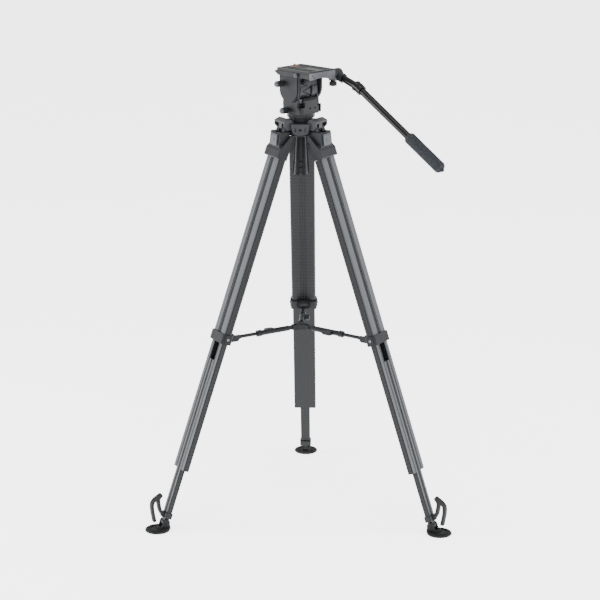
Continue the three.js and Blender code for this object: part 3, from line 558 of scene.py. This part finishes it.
@dataclass
class HeadDetail:
    """Grip strips, knob caps, pale strips painted on the handle as highlights, and fasteners on the fluid head."""

    place: Place
    plate_top: float = 145.0
    strip_ends: tuple[float, float] = (-64.0, 34.0)
    strip_sides: tuple[float, float] = (14.0, 34.0)
    strip_sunk: float = 0.3
    strip_thick: float = 1.0
    base_screw_at: tuple[float, float] = (-29.4, 47.8)
    base_screw_sides: tuple[float, float] = (2.5, -15.0)

    def build(self) -> None:
        """Builds every piece of the head's detail."""
        self.grip_strips()
        self.screw_washer()
        self.knob_caps()
        self.handle_highlight_strips()
        self.base_screws()

    def grip_strips(self) -> None:
        """Adds the two pressed strips either side of the plate's slot."""
        def draw(shape: bmesh.types.BMesh) -> None:
            """Draws both strips."""
            rear, front = self.strip_ends
            low = self.plate_top - self.strip_sunk
            for hand in (-1, 1):
                inner, outer = (hand * side for side in self.strip_sides)
                flat = [Vector((rear, inner, low)), Vector((front, inner, low)),
                        Vector((front, outer, low)), Vector((rear, outer, low))]
                prism(shape, flat, Vector((0, 0, self.strip_thick)))
        make_piece("plate_grip_strips", draw, self.place, "plate_unit", MOULDED_RUBBER.build(), 0.4)

    def screw_washer(self) -> None:
        """Adds the soft ring on the plate round the camera screw."""
        low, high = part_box("camera_screw")
        middle = (low + high) / 2
        place = Place(Vector((middle.x, middle.y, self.place.origin.z)), self.place.x, self.place.y,
                      self.place.z)

        def draw(shape: bmesh.types.BMesh) -> None:
            """Draws the ring clear of the screw's thread."""
            top = self.plate_top
            lathe(shape, ((4.6, top - 0.4), (11.5, top - 0.4), (11.5, top + 0.9), (10.8, top + 1.3),
                          (5.2, top + 1.3), (4.6, top + 0.9)), Turn.ALONG_Z, sides=40)
        make_piece("screw_washer", draw, place, "plate_unit", PRESSED_CORK.build())

    def knob_caps(self) -> None:
        """Adds a domed cap on the outer end of each lock knob."""
        material = MOULDED_ACETAL.build()
        for body in ("tilt_lock", "pan_lock"):
            joint = JOINTS[f"{body}_turn"]
            low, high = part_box(f"{body}_knob")
            axis = Vector(joint["axis"]).normalized()
            middle = (low + high) / 2
            if axis.dot(middle - self.place.origin) < 0:
                axis = -axis
            radius = (high.z - low.z) / 2
            length = (high.x - low.x - 2 * radius * abs(axis.y)) / abs(axis.x)
            side = Vector((0, 0, 1)).cross(axis).normalized()
            end = Place(middle + axis * length / 2, axis, side, axis.cross(side))
            r = radius / MM - 0.6

            def draw(shape: bmesh.types.BMesh, r: float = r) -> None:
                """Draws the dome."""
                lathe(shape, ((0, -0.6), (r, -0.6), (r, 1.2), (r * 0.86, 3.0), (r * 0.55, 4.2), (0, 4.7)),
                      Turn.ALONG_X, sides=32)
            make_piece(f"{body}_cap", draw, end, body, material)

    def handle_highlight_strips(self) -> None:
        """Adds a pale strip along the edge of each of the two side fins of the clamp handle: a painted highlight
        where the rounded edges catch the light.
        """
        # Painted highlight: a lighter satin grey than the handle's nylon stands in for the light on the fins'
        # edges.
        material = ANODISED_ALUMINIUM.build()
        crown = crown_place()
        edge = ((12.6, -20.0), (15.2, -38.0), (22.6, -114.0))
        for number, heading in enumerate((30, 150), 1):
            turn = Matrix.Rotation(math.radians(heading), 3, "Z")
            place = Place(crown.origin, turn @ crown.x, turn @ crown.y, crown.z)

            def draw(shape: bmesh.types.BMesh) -> None:
                """Draws the highlight strip in two lengths that follow the fin's edge."""
                for (r0, z0), (r1, z1) in zip(edge, edge[1:]):
                    flat = [Vector((r0, -1.9, z0)), Vector((r1, -1.9, z1)), Vector((r1, 1.9, z1)),
                            Vector((r0, 1.9, z0))]
                    prism(shape, flat, Vector((1.9, 0, 0)))
            make_piece(f"handle_highlight_strip_{number}", draw, place, "clamp_handle", material, 0.4)

    def base_screws(self) -> None:
        """Adds the screws through the rear of the pan base."""
        def draw(shape: bmesh.types.BMesh) -> None:
            """Draws both screws."""
            x, z = self.base_screw_at
            for y in self.base_screw_sides:
                cap_screw(shape, 2.1, Turn.ALONG_X, (x, y, z), -1.8)
        make_piece("base_screws", draw, self.place, "pan_unit", ZINC_STEEL.build())


@dataclass
class Studio:
    """Pale floor, soft light and the camera."""

    lens_mm: float = 123.55
    camera_off: tuple[float, float, float] = (0.1722, -4.997, 0.917)
    pitch_down: float = 15.2265
    turn: float = 2.0
    floor_glow: float = 2.6

    def build(self) -> None:
        """Builds the stage, the lights and the camera."""
        self.floor()
        self.light("side_left", (-3.4, -0.6, 1.6), 1.4, 110.0)
        self.light("side_right", (3.4, -0.6, 1.6), 1.4, 90.0)
        self.light("overhead", (0.0, -1.2, 4.2), 2.4, 90.0)
        self.camera()
        world = bpy.data.worlds.new("plain_studio")
        bpy.context.scene.world = world
        world.use_nodes = True
        world.node_tree.nodes["Background"].inputs["Color"].default_value = linear("#ffffff")
        world.node_tree.nodes["Background"].inputs["Strength"].default_value = 1.5

    def floor(self) -> None:
        """Adds the pale floor, lit from within like a light table."""
        mesh = bpy.data.meshes.new("studio_floor")
        half = 12.0
        corners = [(-half, -half, 0), (half, -half, 0), (half, half, 0), (-half, half, 0)]
        mesh.from_pydata(corners, [], [(0, 1, 2, 3)])
        matt = Finish("floor_paint_rolled", "#f3f3f3", "#f7f7f7", 0.9, grain_depth=0.02, mottle_mm=900.0)
        surface = matt.build()
        shader = next(node for node in surface.node_tree.nodes if node.type == "BSDF_PRINCIPLED")
        shader.inputs["Emission Color"].default_value = linear("#ffffff")
        shader.inputs["Emission Strength"].default_value = self.floor_glow
        mesh.materials.append(surface)
        floor = bpy.data.objects.new("studio_floor", mesh)
        bpy.context.scene.collection.objects.link(floor)

    def light(self, name: str, place: tuple[float, float, float], size: float, power: float) -> None:
        """Adds a square soft light that faces the middle of the tripod.

        Args:
            name: The light.
            place: Where it is, in metres.
            size: The length of its side.
            power: Its power in watts.
        """
        data = bpy.data.lights.new(name, "AREA")
        data.size = size
        data.energy = power
        lamp = bpy.data.objects.new(name, data)
        lamp.location = place
        aim = Vector((0, 0, 0.6)) - Vector(place)
        lamp.rotation_euler = aim.to_track_quat("-Z", "Y").to_euler()
        bpy.context.scene.collection.objects.link(lamp)

    def camera(self) -> None:
        """Adds the camera."""
        data = bpy.data.cameras.new("camera")
        data.lens = self.lens_mm
        data.sensor_width = 36.0
        camera = bpy.data.objects.new("camera", data)
        camera.location = crown_place().origin + Vector(self.camera_off)
        camera.rotation_euler = (math.radians(90 - self.pitch_down), 0, math.radians(self.turn))
        bpy.context.scene.collection.objects.link(camera)
        bpy.context.scene.camera = camera


if __name__ == "__main__":
    main()
